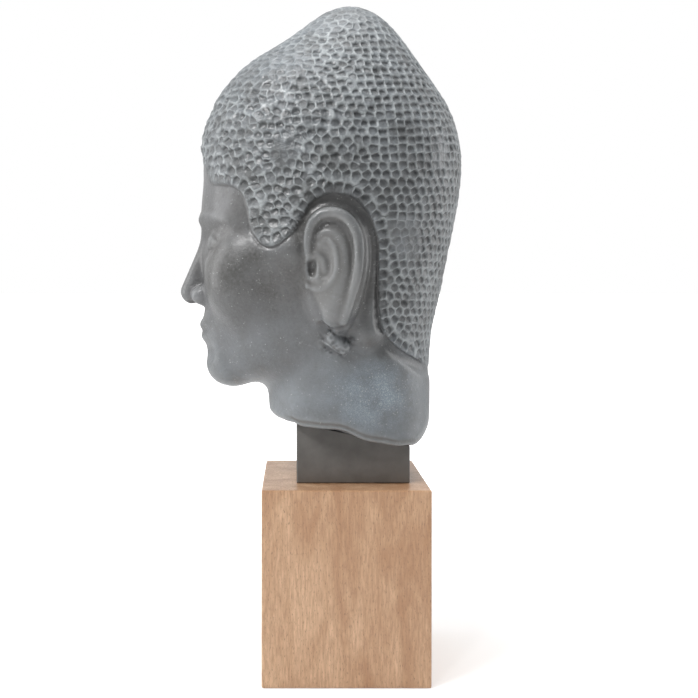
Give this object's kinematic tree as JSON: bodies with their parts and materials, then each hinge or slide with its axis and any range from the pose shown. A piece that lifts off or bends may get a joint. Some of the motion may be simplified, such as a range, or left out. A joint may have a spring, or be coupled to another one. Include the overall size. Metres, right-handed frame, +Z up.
{
  "type": "stone buddha head on a stand",
  "caption": "Life-size carved head with a cap of small round curls and a low crown bump, cut at the neck, on a dark block and a square wooden plinth.",
  "frame": {"origin": "centre of the plinth's underside, where it rests on the surface", "axes": "+Z up, -Y the way the face looks, +X towards the head's own left ear"},
  "size_m": [0.1727, 0.2122, 0.4941],
  "materials": {
    "head": "satin, dusty blue-grey patina",
    "mounting_block": "satin",
    "plinth": "satin, open grain"
  },
  "bodies": {
    "root": {"head": "head", "mounting_block": "mounting_block", "plinth": "plinth"}
  },
  "joints": []
}
